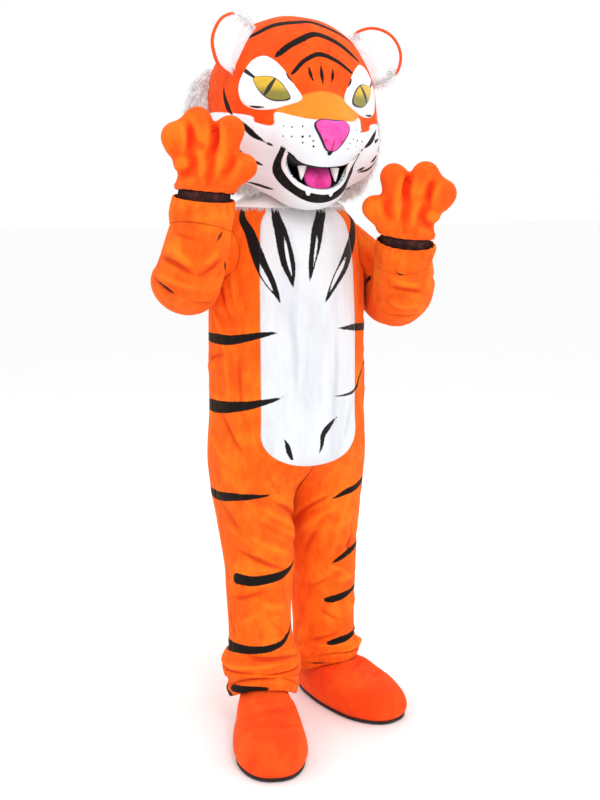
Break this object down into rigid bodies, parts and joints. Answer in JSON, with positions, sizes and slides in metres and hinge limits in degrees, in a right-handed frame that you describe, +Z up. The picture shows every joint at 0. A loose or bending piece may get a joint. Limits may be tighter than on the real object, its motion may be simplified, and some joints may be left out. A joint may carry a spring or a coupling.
{
  "type": "tiger mascot costume",
  "caption": "Full-body tiger mascot costume in worn pose: plush head with open mouth, one-piece striped suit with white belly, paw mitts and shoe covers.",
  "frame": {"origin": "where the suit rests on the wearer's shoulders, on the body's centre line, 1.36 m above the floor", "axes": "+Z up; -Y is the way the costume faces; the wearer's right is -X"},
  "size_m": [0.7832, 0.7131, 1.8618],
  "materials": {
    "orange_plush": "short orange plush pile, with black printed or sewn-on stripes",
    "red_plush": "short red-orange plush pile",
    "white_plush": "short white plush pile",
    "white_fur": "long white faux fur",
    "black_felt": "matt black felt",
    "pink_felt": "smooth pink fleece",
    "eye_gold": "olive gold with a black slit pupil",
    "dark_knit": "dark brown ribbed elastic",
    "sole_rubber": "matt dark rubberised sole",
    "zip_tape": "orange-brown woven zip tape"
  },
  "bodies": {
    "root": {"back_left": "orange_plush", "back_right": "orange_plush", "back_zip": "zip_tape", "belly": "white_plush", "cheek_ruff_left": "white_fur", "cheek_ruff_right": "white_fur", "cuff_left": "orange_plush", "cuff_right": "orange_plush", "ear_back_left": "orange_plush", "ear_back_right": "orange_plush", "ear_front_left": "white_plush", "ear_front_right": "white_plush", "eye_white_left": "white_plush", "eye_white_right": "white_plush", "fang_left": "white_plush", "fang_right": "white_plush", "front_left": "orange_plush", "front_right": "orange_plush", "head_crown": "orange_plush", "iris_left": "eye_gold", "iris_right": "eye_gold", "lip_band": "black_felt", "lower_jaw": "white_plush", "mitt_back_left": "orange_plush", "mitt_back_right": "orange_plush", "mitt_palm_left": "orange_plush", "mitt_palm_right": "orange_plush", "mouth_cup": "black_felt", "muzzle_cheeks": "white_plush", "neck_fur": "white_fur", "nose": "pink_felt", "shoe_upper_left": "red_plush", "shoe_upper_right": "red_plush", "sleeve_back_left": "orange_plush", "sleeve_back_right": "orange_plush", "sleeve_front_left": "orange_plush", "sleeve_front_right": "orange_plush", "sole_left": "sole_rubber", "sole_right": "sole_rubber", "tongue": "pink_felt", "wrist_band_left": "dark_knit", "wrist_band_right": "dark_knit"}
  },
  "joints": []
}
